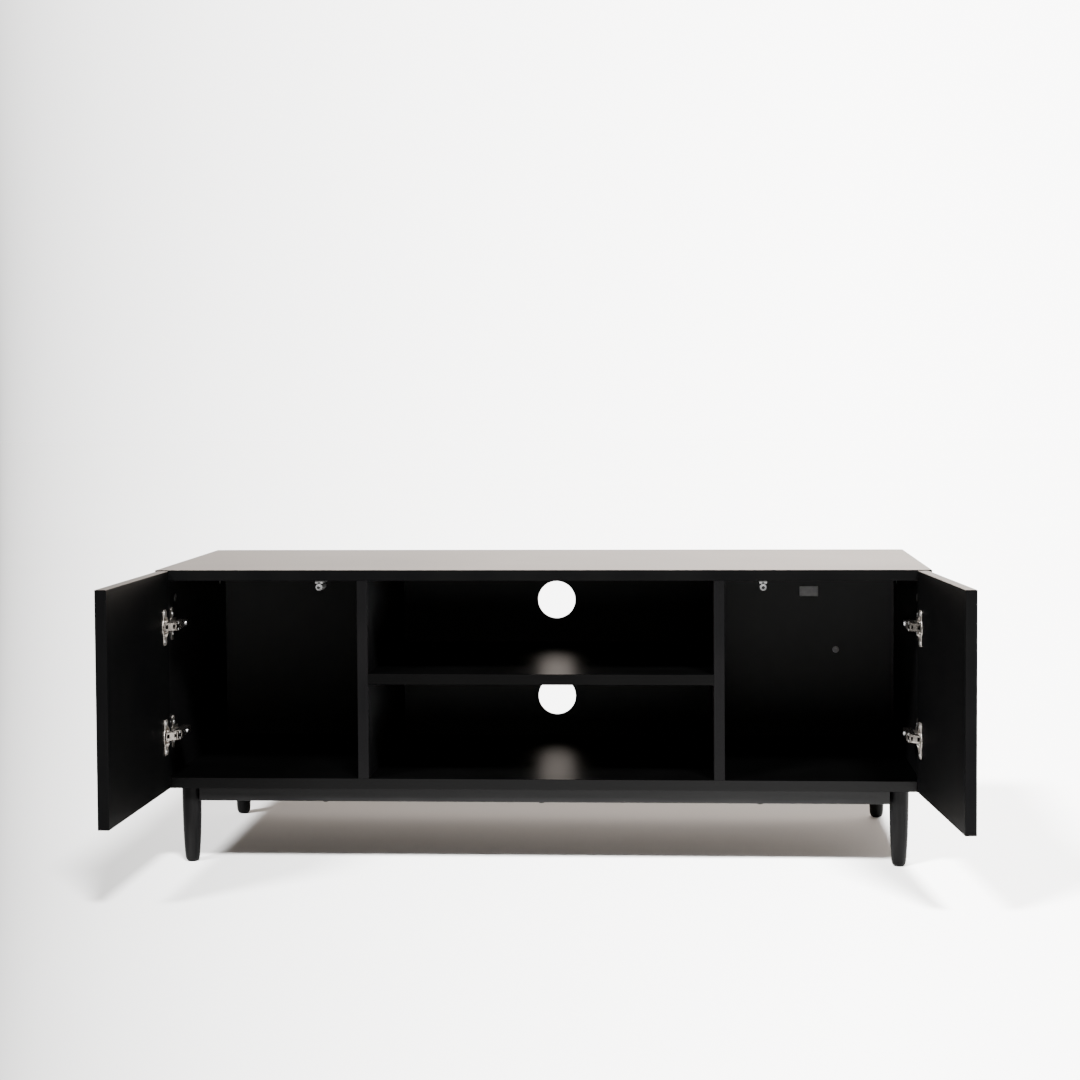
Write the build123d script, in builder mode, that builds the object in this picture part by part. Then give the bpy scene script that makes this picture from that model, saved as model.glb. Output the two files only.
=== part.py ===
# Low media cabinet: an open middle with one shelf, a door each side on concealed cup hinges,
# push latches under the top, and four turned legs.
# Millimetres. X runs to the right, Y to the back and Z up; the origin is on the floor, under the
# middle of the carcass. The doors stand open, as in the rest pose.

import os
from math import atan2, cos, degrees, hypot, pi, radians, sin

from build123d import *

# Carcass
width = 1300
depth = 480
carcass_height = 370
leg_height = 130
board = 18
edge_ease = 0.6
middle_bay_width = 580
lower_bay_height = 159

# Back panel, let into grooves
back_thickness = 4
back_inset = 12
groove_depth = 6
groove_play = 0.2
cable_hole_radius = 35
lower_hole_rise = 76
upper_hole_rise = 81.5

# Turned legs and the rails between them
leg_top_radius = 16.5
leg_middle_radius = 15.4
leg_calf_radius = 13.8
leg_calf_height = 30
leg_ankle_radius = 12.5
leg_ankle_height = 10
leg_toe_radius = 11
leg_toe_height = 3
leg_sole_radius = 8
leg_inset_side = 51
leg_inset_depth = 31
leg_bolt_radius = 4
leg_bolt_in_leg = 32
leg_bolt_in_insert = 11
leg_insert_radius = 5.5
leg_insert_length = 13
rail_height = 23
rail_setback = 12
rail_end_gap = 0.5
rail_screw_spacing = 367
rail_screw_radius = 2.2
rail_screw_length = 30
rail_screw_head_radius = 5
rail_screw_head_height = 2

# Carcass fittings
fit = 0.05
shank_sides = 6
small_round_sides = 10
large_round_sides = 24
cam_radius = 7.5
cam_height = 12.5
cam_setback = 34
cam_row_inset = 65
cam_bolt_grip = 12
cam_bolt_radius = 3
cam_bolt_neck_radius = 2
cam_bolt_head_radius = 3
cam_bolt_head_length = 3
cam_bolt_hole_radius = 4
cam_mouth_radius = 3.4
cam_slot_width = 1.6
cam_slot_depth = 1.5
dowel_radius = 4
dowel_in_top = 12
dowel_in_upright = 18
dowel_from_cam = 32
shelf_dowel_row_inset = 110
screw_row_inset = 90
screw_radius = 3
screw_length = 50
screw_head_radius = 5
screw_head_height = 3

# Doors
door_width = 357
door_gap = 2
door_reveal = 1
left_door_angle = 91.2
right_door_angle = 95.2

# Cup hinges. Pivots are given with the door shut, as the distance in from the side panel's
# inner face and the distance out from the carcass front.
outer_pin_in = 20
outer_pin_out = -2.4
inner_pin_in = 18.4
inner_pin_out = 10.4
cup_pin_in = -4.2
cup_pin_out = 3.4
knuckle_in = 0.1
knuckle_out = 4.6
outer_link_ratio = -0.387
lower_hinge_height = 91
upper_hinge_drop = 94
cup_radius = 17.5
cup_depth = 12.5
cup_wall = 0.8
cup_floor = 1
cup_inset = 22.5
cup_play = 0.1
cup_notch_depth = 3
flange_length = 60
flange_width = 19
flange_corner = 4
flange_rim = 1.2
flange_thickness = 1.2
flange_screw_spacing = 48
flange_screw_offset = 5.5
flange_screw_radius = 1.6
flange_screw_length = 11
flange_screw_head_radius = 3.4
flange_screw_head_height = 0.9
pin_radius = 1
pin_play = 0.08
link_half_thickness = 1
link_eye_radius = 2
layer_gap = 0.3
nose_half_width = 3.2
inner_plate = 2.7
outer_plate = 1.2
lug_plate = 1.6
link_web = 1.2
inner_web_start = 5
inner_web_length = 8
outer_web_start = 9
outer_web_length = 6
arm_height = 22.6
arm_wall = 1.4
arm_front = 6
arm_length = 66
arm_lift = 9
nose_radius = 1.8
plate_thickness = 2
plate_line = 37
plate_wing_length = 56
plate_wing_width = 12
plate_wing_corner = 3
plate_body_width = 18
plate_body_length = 40
rib_width = 8.4
rib_length = 34
plate_screw_spacing = 32
plate_screw_radius = 2
plate_screw_length = 13
plate_screw_head_radius = 4
plate_screw_head_height = 1.3
clamp_screw_radius = 2
clamp_screw_length = 9
clamp_screw_head_radius = 3.6
clamp_screw_head_height = 1.5
clamp_screw_behind_line = 8

# Push latches under the top
latch_offset = 372
latch_drop = 11.4
latch_base_height = 5.2
latch_neck_width = 4
latch_barrel_radius = 5.5
latch_length = 44
latch_base_width = 13
latch_ear_length = 16
latch_set_back = 2
plunger_radius = 3.8
plunger_length = 30
plunger_travel = 3
plunger_play = 0.08
plunger_clear_of_door = 0.4
plunger_dimple_radius = 2.2
plunger_dimple_depth = 5
latch_screw_radius = 1.5
latch_screw_length = 14
latch_screw_head_radius = 3
latch_screw_head_height = 1.5

# Places worked out from the sizes above
front = -depth / 2
back = depth / 2
underside = leg_height
floor_top = underside + board
top_underside = underside + carcass_height - board
upright_height = top_underside - floor_top
side_inner = width / 2 - board
divider_inner = middle_bay_width / 2
divider_outer = divider_inner + board
shelf_underside = floor_top + lower_bay_height
back_rear = back - back_inset
back_front = back_rear - back_thickness
back_middle = (back_front + back_rear) / 2
groove_width = back_thickness + 2 * groove_play
leg_x = width / 2 - leg_inset_side
leg_y = depth / 2 - leg_inset_depth
side_middle = side_inner + board / 2
divider_middle = divider_inner + board / 2
cam_rows = (front + cam_row_inset, back - cam_row_inset)
dowel_rows = (cam_rows[0] + dowel_from_cam, cam_rows[1] - dowel_from_cam)
screw_rows = (front + screw_row_inset, back - screw_row_inset)
shelf_dowel_rows = (front + shelf_dowel_row_inset, back - shelf_dowel_row_inset)
rail_screw_places = (-rail_screw_spacing, 0, rail_screw_spacing)
rail_middle_y = depth / 2 - rail_setback - board / 2
upright_middles = (-side_middle, -divider_middle, divider_middle, side_middle)
hinge_levels = {
    "lower": underside + lower_hinge_height,
    "upper": underside + carcass_height - upper_hinge_drop,
}
inner_layer = nose_half_width + layer_gap
outer_layer = inner_layer + inner_plate + layer_gap
lug_layer = outer_layer + outer_plate + layer_gap
lug_end = lug_layer + lug_plate
sides = {"left": (-1, left_door_angle), "right": (1, right_door_angle)}

os.makedirs("parts", exist_ok=True)


# Round forms that repeat have flat sides, fewest on the hidden shanks, so that their faces stay few.
def shank(radius, mode=Mode.ADD):
    RegularPolygon(radius, shank_sides, mode=mode)


def small_round(radius):
    RegularPolygon(radius, small_round_sides)


def large_round(radius):
    RegularPolygon(radius, large_round_sides)


def save(piece, label):
    piece.part.label = label
    export_step(piece.part, f"parts/{label}.step")


# Carcass boards

with BuildPart() as top_panel:
    with BuildSketch(Plane.XY.offset(top_underside)):
        Rectangle(width, depth)
    extrude(amount=board)
    chamfer(top_panel.edges(), edge_ease)
    with BuildSketch(Plane.XY.offset(top_underside)):
        with Locations((0, back_middle)):
            Rectangle(2 * (side_inner + groove_depth), groove_width)
    extrude(amount=groove_depth, mode=Mode.SUBTRACT)
    with BuildSketch(Plane.XY.offset(top_underside)):
        with Locations([(x, y) for x in upright_middles for y in cam_rows]):
            shank(cam_bolt_radius + fit)
    extrude(amount=cam_bolt_grip, mode=Mode.SUBTRACT)
    with BuildSketch(Plane.XY.offset(top_underside)):
        with Locations([(x, y) for x in upright_middles for y in dowel_rows]):
            shank(dowel_radius + fit)
    extrude(amount=dowel_in_top, mode=Mode.SUBTRACT)
    with BuildSketch(Plane.XY.offset(top_underside)):
        for latch_x in (-latch_offset, latch_offset):
            for back_step in (0.25, 0.75):
                screw_y = front + latch_set_back + latch_length + back_step * latch_ear_length
                with Locations((latch_x, screw_y)):
                    shank(latch_screw_radius + fit)
    extrude(amount=latch_screw_length - latch_base_height, mode=Mode.SUBTRACT)
save(top_panel, "top_panel")

with BuildPart() as bottom_panel:
    with BuildSketch(Plane.XY.offset(underside)):
        Rectangle(width, depth)
    extrude(amount=board)
    chamfer(bottom_panel.edges(), edge_ease)
    with BuildSketch(Plane.XY.offset(floor_top)):
        with Locations((0, back_middle)):
            Rectangle(2 * (side_inner + groove_depth), groove_width)
    extrude(amount=-groove_depth, mode=Mode.SUBTRACT)
    with BuildSketch(Plane.XY.offset(underside)):
        with Locations([(x, y) for x in upright_middles for y in screw_rows]):
            shank(screw_radius + fit)
    extrude(amount=board, mode=Mode.SUBTRACT)
    with BuildSketch(Plane.XY.offset(underside)):
        with Locations([(x, y) for x in upright_middles for y in screw_rows]):
            small_round(screw_head_radius + fit)
    extrude(amount=screw_head_height, mode=Mode.SUBTRACT)
    with BuildSketch(Plane.XY.offset(underside)):
        with GridLocations(2 * leg_x, 2 * leg_y, 2, 2):
            shank(leg_insert_radius + fit)
    extrude(amount=leg_insert_length, mode=Mode.SUBTRACT)
    with BuildSketch(Plane.XY.offset(underside)):
        with GridLocations(rail_screw_spacing, 2 * rail_middle_y, 3, 2):
            shank(rail_screw_radius + fit)
    extrude(amount=rail_screw_length - rail_height, mode=Mode.SUBTRACT)
save(bottom_panel, "bottom_panel")


for hand, (side, angle) in sides.items():
    for kind in ("side_panel", "divider"):
        outermost = kind == "side_panel"
        middle_x = side * (side_middle if outermost else divider_middle)
        cam_x = side * (side_inner if outermost else divider_outer)
        into = side if outermost else -side
        rear = back if outermost else back_front
        with BuildPart() as upright:
            with BuildSketch(Plane.XY.offset(floor_top)):
                with Locations((middle_x, (front + rear) / 2)):
                    Rectangle(board, rear - front)
            extrude(amount=upright_height)
            chamfer(upright.edges().filter_by(Axis.Z).group_by(Axis.Y)[0], edge_ease)
            # Cam pockets in the face, then bolt and dowel holes in the top end
            with BuildSketch(Plane((cam_x, 0, top_underside - cam_setback), (0, 1, 0), (into, 0, 0))):
                with Locations([(y, 0) for y in cam_rows]):
                    small_round(cam_radius + fit)
            extrude(amount=cam_height, mode=Mode.SUBTRACT)
            with BuildSketch(Plane.XY.offset(top_underside)):
                with Locations([(middle_x, y) for y in cam_rows]):
                    shank(cam_bolt_hole_radius)
            extrude(amount=-cam_setback, mode=Mode.SUBTRACT)
            with BuildSketch(Plane.XY.offset(top_underside)):
                with Locations([(middle_x, y) for y in dowel_rows]):
                    shank(dowel_radius + fit)
            extrude(amount=-dowel_in_upright, mode=Mode.SUBTRACT)
            with BuildSketch(Plane.XY.offset(floor_top)):
                with Locations([(middle_x, y) for y in screw_rows]):
                    shank(screw_radius + fit)
            extrude(amount=screw_length - board, mode=Mode.SUBTRACT)
            if outermost:
                with BuildSketch(Plane.XY.offset(floor_top)):
                    with Locations((side * (side_inner + groove_depth / 2), back_middle)):
                        Rectangle(groove_depth, groove_width)
                extrude(amount=upright_height, mode=Mode.SUBTRACT)
                for level in hinge_levels.values():
                    with BuildSketch(Plane((side * side_inner, 0, level), (0, 1, 0), (side, 0, 0))):
                        for step in (-1, 1):
                            with Locations((front + plate_line, step * plate_screw_spacing / 2)):
                                shank(plate_screw_radius + fit)
                    extrude(amount=plate_screw_length - plate_thickness, mode=Mode.SUBTRACT)
            else:
                shelf_end = Plane(
                    (side * divider_inner, 0, shelf_underside + board / 2), (0, 1, 0), (side, 0, 0))
                with BuildSketch(shelf_end):
                    with Locations([(y, 0) for y in shelf_dowel_rows]):
                        shank(dowel_radius + fit)
                extrude(amount=dowel_in_top, mode=Mode.SUBTRACT)
        save(upright, f"{hand}_{kind}")

with BuildPart() as shelf:
    with BuildSketch(Plane.XY.offset(shelf_underside)):
        with Locations((0, (front + back_front) / 2)):
            Rectangle(middle_bay_width, back_front - front)
    extrude(amount=board)
    chamfer(shelf.edges().filter_by(Axis.X).group_by(Axis.Y)[0], edge_ease)
    for side in (-1, 1):
        end_plane = Plane((side * divider_inner, 0, shelf_underside + board / 2), (0, 1, 0), (side, 0, 0))
        with BuildSketch(end_plane):
            with Locations([(y, 0) for y in shelf_dowel_rows]):
                shank(dowel_radius + fit)
        extrude(amount=-dowel_in_upright, mode=Mode.SUBTRACT)
save(shelf, "shelf")

upper_bay_floor = shelf_underside + board
lower_hole_z = floor_top + lower_hole_rise
upper_hole_z = upper_bay_floor + upper_hole_rise
with BuildPart() as back_panel:
    with BuildSketch(Plane((0, back_rear, (floor_top + top_underside) / 2), (1, 0, 0), (0, -1, 0))):
        Rectangle(2 * (side_inner + groove_depth - groove_play), upright_height + 2 * (groove_depth - groove_play))
    extrude(amount=back_thickness)
    with BuildSketch(Plane((0, back_rear, 0), (1, 0, 0), (0, -1, 0))):
        with Locations((0, lower_hole_z), (0, upper_hole_z)):
            Circle(cable_hole_radius)
    extrude(amount=back_thickness, mode=Mode.SUBTRACT)
save(back_panel, "back_panel")

# Rails under the bottom panel

rail_half_length = leg_x - leg_top_radius - rail_end_gap
for place, sign in (("front", -1), ("back", 1)):
    with BuildPart() as rail:
        with BuildSketch(Plane.XY.offset(underside)):
            with Locations((0, sign * rail_middle_y)):
                Rectangle(2 * rail_half_length, board)
        extrude(amount=-rail_height)
        chamfer(rail.edges(), edge_ease)
        with BuildSketch(Plane.XY.offset(underside)):
            with Locations([(x, sign * rail_middle_y) for x in rail_screw_places]):
                shank(rail_screw_radius + fit)
        extrude(amount=-rail_height, mode=Mode.SUBTRACT)
    save(rail, f"{place}_rail")

with BuildPart() as rail_screws:
    with BuildSketch(Plane.XY.offset(underside - rail_height)):
        with GridLocations(rail_screw_spacing, 2 * rail_middle_y, 3, 2):
            shank(rail_screw_radius)
    extrude(amount=rail_screw_length)
    with BuildSketch(Plane.XY.offset(underside - rail_height)):
        with GridLocations(rail_screw_spacing, 2 * rail_middle_y, 3, 2):
            small_round(rail_screw_head_radius)
    extrude(amount=-rail_screw_head_height)
save(rail_screws, "rail_screws")

# Legs: tapers that steepen from the top to the ankle, then a rounded foot

leg_rings = (
    (0, leg_sole_radius),
    (leg_toe_height, leg_toe_radius),
    (leg_ankle_height, leg_ankle_radius),
    (leg_calf_height, leg_calf_radius),
    (leg_height / 2, leg_middle_radius),
    (leg_height, leg_top_radius),
)
for place, sign in (("front", -1), ("back", 1)):
    for hand, (side, angle) in sides.items():
        with BuildPart() as leg:
            for (low, low_radius), (high, high_radius) in zip(leg_rings, leg_rings[1:]):
                lean = degrees(atan2((high_radius - low_radius) * cos(pi / large_round_sides), high - low))
                with BuildSketch(Plane((side * leg_x, sign * leg_y, high), (1, 0, 0), (0, 0, -1))):
                    large_round(high_radius)
                extrude(amount=high - low, taper=lean)
            with BuildSketch(Plane((side * leg_x, sign * leg_y, leg_height))):
                shank(leg_bolt_radius + fit)
            extrude(amount=-leg_bolt_in_leg, mode=Mode.SUBTRACT)
        save(leg, f"{place}_{hand}_leg")

with BuildPart() as leg_inserts:
    with BuildSketch(Plane.XY.offset(underside)):
        with GridLocations(2 * leg_x, 2 * leg_y, 2, 2):
            shank(leg_insert_radius)
            shank(leg_bolt_radius + fit, Mode.SUBTRACT)
    extrude(amount=leg_insert_length)
save(leg_inserts, "leg_inserts")

with BuildPart() as leg_bolts:
    with BuildSketch(Plane.XY.offset(underside - leg_bolt_in_leg)):
        with GridLocations(2 * leg_x, 2 * leg_y, 2, 2):
            shank(leg_bolt_radius)
    extrude(amount=leg_bolt_in_leg + leg_bolt_in_insert)
save(leg_bolts, "leg_bolts")

# Fittings that hold the carcass together

cam_centre_z = top_underside - cam_setback
cam_faces = [(-side_inner, -1), (-divider_outer, 1), (divider_outer, -1), (side_inner, 1)]
with BuildPart() as cam_locks:
    for face_x, into in cam_faces:
        with BuildSketch(Plane((face_x, 0, cam_centre_z), (0, 1, 0), (into, 0, 0))):
            with Locations([(y, 0) for y in cam_rows]):
                small_round(cam_radius)
        extrude(amount=cam_height)
        with BuildSketch(Plane((face_x, 0, cam_centre_z), (0, 1, 0), (into, 0, 0))):
            with Locations([(y, 0) for y in cam_rows]):
                Rectangle(cam_radius, cam_slot_width)
                Rectangle(cam_slot_width, cam_radius)
        extrude(amount=cam_slot_depth, mode=Mode.SUBTRACT)
    with BuildSketch(Plane.XY.offset(cam_centre_z - cam_bolt_head_length)):
        with Locations([(x, y) for x in upright_middles for y in cam_rows]):
            shank(cam_mouth_radius)
    extrude(amount=cam_radius + cam_bolt_head_length, mode=Mode.SUBTRACT)
save(cam_locks, "cam_locks")

with BuildPart() as cam_bolts:
    with BuildSketch(Plane.XY.offset(cam_centre_z - cam_bolt_head_length / 2)):
        with Locations([(x, y) for x in upright_middles for y in cam_rows]):
            shank(cam_bolt_head_radius)
    extrude(amount=cam_bolt_head_length)
    with BuildSketch(Plane.XY.offset(cam_centre_z)):
        with Locations([(x, y) for x in upright_middles for y in cam_rows]):
            shank(cam_bolt_neck_radius)
    extrude(amount=cam_setback)
    with BuildSketch(Plane.XY.offset(top_underside)):
        with Locations([(x, y) for x in upright_middles for y in cam_rows]):
            shank(cam_bolt_radius)
    extrude(amount=cam_bolt_grip)
save(cam_bolts, "cam_bolts")

with BuildPart() as top_dowels:
    with BuildSketch(Plane.XY.offset(top_underside - dowel_in_upright)):
        with Locations([(x, y) for x in upright_middles for y in dowel_rows]):
            shank(dowel_radius)
    extrude(amount=dowel_in_upright + dowel_in_top)
save(top_dowels, "top_dowels")

with BuildPart() as shelf_dowels:
    for side in (-1, 1):
        end_plane = Plane((side * divider_inner, 0, shelf_underside + board / 2), (0, 1, 0), (side, 0, 0))
        with BuildSketch(end_plane.offset(-dowel_in_upright)):
            with Locations([(y, 0) for y in shelf_dowel_rows]):
                shank(dowel_radius)
        extrude(amount=dowel_in_upright + dowel_in_top)
save(shelf_dowels, "shelf_dowels")

with BuildPart() as carcass_screws:
    with BuildSketch(Plane.XY.offset(underside)):
        with Locations([(x, y) for x in upright_middles for y in screw_rows]):
            shank(screw_radius)
    extrude(amount=screw_length)
    with BuildSketch(Plane.XY.offset(underside)):
        with Locations([(x, y) for x in upright_middles for y in screw_rows]):
            small_round(screw_head_radius)
    extrude(amount=screw_head_height)
save(carcass_screws, "carcass_screws")

# Hinge geometry. A place is (in, out): in from the side panel's inner face, out from the front.


# A place after a turn about another, positive the way that a door opens.
def turned(point, centre, angle):
    x, y = point[0] - centre[0], point[1] - centre[1]
    c, s = cos(radians(angle)), sin(radians(angle))
    return (centre[0] + x * c - y * s, centre[1] + x * s + y * c)


def world(side, place, z):
    return (side * (side_inner - place[0]), front - place[1], z)


def direction(side, angle):
    return (-side * cos(radians(angle)), -sin(radians(angle)), 0)


outer_pin = (outer_pin_in, outer_pin_out)
inner_pin = (inner_pin_in, inner_pin_out)
cup_pin_shut = (cup_pin_in, cup_pin_out)
knuckle_shut = (knuckle_in, knuckle_out)
door_corner_shut = (door_reveal - board, door_gap)
cup_pin_on_door = (cup_pin_in - door_corner_shut[0], cup_pin_out - door_corner_shut[1])


# Where the cup pin, the knuckle and the door's inner hinge corner are at an opening angle.
def door_pose(angle):
    cup_pin = turned(cup_pin_shut, outer_pin, outer_link_ratio * angle)
    shift = (cup_pin[0] - cup_pin_shut[0], cup_pin[1] - cup_pin_shut[1])
    knuckle = turned((knuckle_shut[0] + shift[0], knuckle_shut[1] + shift[1]), cup_pin, angle)
    corner = turned((door_corner_shut[0] + shift[0], door_corner_shut[1] + shift[1]), cup_pin, angle)
    return cup_pin, knuckle, corner


# A level plane at a place, its x along a direction turned from straight in.
def flat_plane(side, place, angle, z):
    return Plane(world(side, place, z), direction(side, angle), (0, 0, side))


# A plane on a door's inner face, its x along the door and its z into the door.
def face_plane(side, corner, angle, along, z):
    start = world(side, corner, z)
    run = direction(side, angle)
    into = direction(side, angle + 90)
    origin = tuple(s + along * r for s, r in zip(start, run))
    return Plane(origin, run, into)


# Two eyed plates on a web that joins them on one side. The far end turns on a pin of its own, or
# carries a knuckle across the plates.
def link(side, start, end, z, near, far, web_start, web_length, web_side, knuckled):
    length = hypot(end[0] - start[0], end[1] - start[1])
    angle = degrees(atan2(end[1] - start[1], end[0] - start[0]))
    plane = flat_plane(side, start, angle, z)
    with BuildPart() as piece:
        with BuildSketch(plane):
            with Locations((length / 2, 0)):
                Rectangle(length, 2 * link_half_thickness)
            with Locations((0, 0), (length, 0)):
                small_round(link_eye_radius)
        extrude(amount=far, both=True)
        with BuildSketch(plane):
            with Locations((length / 2, 0)):
                Rectangle(length + 4 * link_eye_radius, 4 * link_eye_radius)
        extrude(amount=near, both=True, mode=Mode.SUBTRACT)
        with BuildSketch(plane):
            with Locations((web_start + web_length / 2, web_side * link_web / 2)):
                Rectangle(web_length, 2 * link_half_thickness + link_web)
        extrude(amount=far, both=True)
        if knuckled:
            with BuildSketch(plane):
                with Locations((length, 0)):
                    small_round(link_eye_radius)
            extrude(amount=far, both=True)
        with BuildSketch(plane):
            small_round(pin_radius + pin_play)
            if not knuckled:
                with Locations((length, 0)):
                    small_round(pin_radius + pin_play)
        extrude(amount=far, both=True, mode=Mode.SUBTRACT)
    return piece


for hand, (side, angle) in sides.items():
    cup_pin, knuckle, corner = door_pose(angle)
    door_levels = list(hinge_levels.values())
    door_height = carcass_height - 2 * door_reveal
    door_middle_z = underside + carcass_height / 2

    with BuildPart() as door:
        with BuildSketch(flat_plane(side, corner, angle, door_middle_z)):
            with Locations((door_width / 2, board / 2)):
                Rectangle(door_width, board)
        extrude(amount=door_height / 2, both=True)
        chamfer(door.edges(), edge_ease)
        for level in door_levels:
            seat = face_plane(side, corner, angle, cup_inset, level)
            with BuildSketch(seat):
                large_round(cup_radius + cup_play)
            extrude(amount=cup_depth + cup_play, mode=Mode.SUBTRACT)
            with BuildSketch(seat):
                for step in (-1, 1):
                    with Locations((flange_screw_offset, step * flange_screw_spacing / 2)):
                        shank(flange_screw_radius + fit)
            extrude(amount=flange_screw_length, mode=Mode.SUBTRACT)
    save(door, f"{hand}_door")

    for name, level in hinge_levels.items():
        seat = face_plane(side, corner, angle, cup_inset, level)
        door_flat = flat_plane(side, corner, angle, level)
        with BuildPart() as cup:
            with BuildSketch(seat):
                large_round(cup_radius)
            extrude(amount=cup_depth)
            with BuildSketch(seat) as flange:
                with Locations((flange_screw_offset - flange_rim, 0)):
                    Rectangle(flange_width, flange_length)
                chamfer(flange.vertices(), flange_corner)
                large_round(cup_radius + flange_rim)
            extrude(amount=-flange_thickness)
            with BuildSketch(seat.offset(-flange_thickness)):
                large_round(cup_radius - cup_wall)
            extrude(amount=flange_thickness + cup_depth - cup_floor, mode=Mode.SUBTRACT)
            # The rim stands open towards the hinge edge, where the outer link comes out
            with BuildSketch(door_flat):
                with Locations((0, (cup_notch_depth - flange_thickness) / 2)):
                    Rectangle(2 * cup_pin_on_door[0], cup_notch_depth + flange_thickness)
            extrude(amount=lug_layer, both=True, mode=Mode.SUBTRACT)
            for step in (-1, 1):
                lug_plane = door_flat.offset(step * (lug_layer + lug_plate / 2))
                with BuildSketch(lug_plane):
                    with Locations(cup_pin_on_door):
                        small_round(link_eye_radius)
                    lug_low = cup_pin_on_door[1]
                    lug_tall = cup_depth - cup_floor / 2 - lug_low
                    with Locations((cup_pin_on_door[0], lug_low + lug_tall / 2)):
                        Rectangle(2 * link_eye_radius, lug_tall)
                extrude(amount=lug_plate / 2, both=True)
            with BuildSketch(door_flat):
                with Locations(cup_pin_on_door):
                    small_round(pin_radius)
            extrude(amount=lug_end, both=True, mode=Mode.SUBTRACT)
            with BuildSketch(seat):
                for step in (-1, 1):
                    with Locations((flange_screw_offset, step * flange_screw_spacing / 2)):
                        shank(flange_screw_radius + fit)
            extrude(amount=-flange_thickness, mode=Mode.SUBTRACT)
        save(cup, f"{hand}_{name}_hinge_cup")

        outer_link = link(
            side, outer_pin, cup_pin, level, outer_layer, outer_layer + outer_plate,
            outer_web_start, outer_web_length, -1, False)
        save(outer_link, f"{hand}_{name}_outer_link")

        inner_link = link(
            side, inner_pin, knuckle, level, inner_layer, inner_layer + inner_plate,
            inner_web_start, inner_web_length, 1, True)
        save(inner_link, f"{hand}_{name}_inner_link")

        arm_plane = flat_plane(side, (0, 0), 0, level)
        arm_half_width = inner_layer + inner_plate
        arm_back = -arm_front - arm_length
        with BuildPart() as arm:
            with BuildSketch(arm_plane):
                with Locations(((arm_lift + arm_height) / 2, (arm_back - arm_front) / 2)):
                    Rectangle(arm_height - arm_lift, arm_length)
            extrude(amount=arm_half_width, both=True)
            with BuildSketch(arm_plane):
                channel_height = arm_height - arm_wall - arm_lift
                with Locations((arm_lift + channel_height / 2, (arm_back - arm_front) / 2)):
                    Rectangle(channel_height, arm_length)
            extrude(amount=arm_half_width - arm_wall, both=True, mode=Mode.SUBTRACT)
            with BuildSketch(arm_plane):
                with BuildLine():
                    Polyline(
                        (outer_pin_in - nose_radius, outer_pin_out),
                        (inner_pin_in - link_eye_radius, inner_pin_out),
                        (inner_pin_in + link_eye_radius, inner_pin_out),
                        (outer_pin_in + nose_radius, outer_pin_out),
                        (arm_height, -arm_front - 2 * nose_radius),
                        (outer_pin_in - nose_radius, -arm_front - 2 * nose_radius),
                        close=True)
                make_face()
                with Locations(inner_pin):
                    small_round(link_eye_radius)
            extrude(amount=nose_half_width, both=True)
            with BuildSketch(arm_plane):
                with Locations(inner_pin, outer_pin):
                    small_round(pin_radius)
            extrude(amount=arm_half_width, both=True, mode=Mode.SUBTRACT)
            clamp_out = -plate_line - clamp_screw_behind_line
            web_plane = Plane(world(side, (arm_height, clamp_out), level), (0, 1, 0), (-side, 0, 0))
            with BuildSketch(web_plane):
                shank(clamp_screw_radius + fit)
            extrude(amount=-arm_wall, mode=Mode.SUBTRACT)
        save(arm, f"{hand}_{name}_hinge_arm")

        wall_plane = Plane(world(side, (0, -plate_line), level), (0, 1, 0), (-side, 0, 0))
        rib_top = arm_height - arm_wall
        with BuildPart() as plate:
            with BuildSketch(wall_plane) as outline:
                Rectangle(plate_wing_width, plate_wing_length)
                chamfer(outline.vertices(), plate_wing_corner)
                with Locations((plate_body_length / 2 - plate_wing_width, 0)):
                    Rectangle(plate_body_length, plate_body_width)
            extrude(amount=plate_thickness)
            with BuildSketch(wall_plane):
                with Locations((rib_length / 2 - plate_wing_width, 0)):
                    Rectangle(rib_length, rib_width)
            extrude(amount=rib_top)
            with BuildSketch(wall_plane):
                for step in (-1, 1):
                    with Locations((0, step * plate_screw_spacing / 2)):
                        shank(plate_screw_radius + fit)
            extrude(amount=plate_thickness, mode=Mode.SUBTRACT)
            with BuildSketch(web_plane.offset(-arm_wall)):
                shank(clamp_screw_radius + fit)
            extrude(amount=-clamp_screw_length, mode=Mode.SUBTRACT)
        save(plate, f"{hand}_{name}_mounting_plate")

    with BuildPart() as cup_pins:
        for level in door_levels:
            for step in (-1, 1):
                with BuildSketch(flat_plane(side, cup_pin, angle, level).offset(step * outer_layer)):
                    small_round(pin_radius)
                extrude(amount=step * (lug_end - outer_layer))
    save(cup_pins, f"{hand}_cup_pins")

    with BuildPart() as cup_screws:
        for level in door_levels:
            seat = face_plane(side, corner, angle, cup_inset, level).offset(-flange_thickness)
            for step in (-1, 1):
                with BuildSketch(seat):
                    with Locations((flange_screw_offset, step * flange_screw_spacing / 2)):
                        shank(flange_screw_radius)
                extrude(amount=flange_thickness + flange_screw_length)
                with BuildSketch(seat):
                    with Locations((flange_screw_offset, step * flange_screw_spacing / 2)):
                        small_round(flange_screw_head_radius)
                extrude(amount=-flange_screw_head_height)
    save(cup_screws, f"{hand}_cup_screws")

with BuildPart() as arm_pins:
    for side, angle in sides.values():
        for level in hinge_levels.values():
            with BuildSketch(flat_plane(side, outer_pin, 0, level)):
                small_round(pin_radius)
            extrude(amount=outer_layer + outer_plate, both=True)
            with BuildSketch(flat_plane(side, inner_pin, 0, level)):
                small_round(pin_radius)
            extrude(amount=inner_layer + inner_plate, both=True)
save(arm_pins, "arm_pins")

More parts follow.
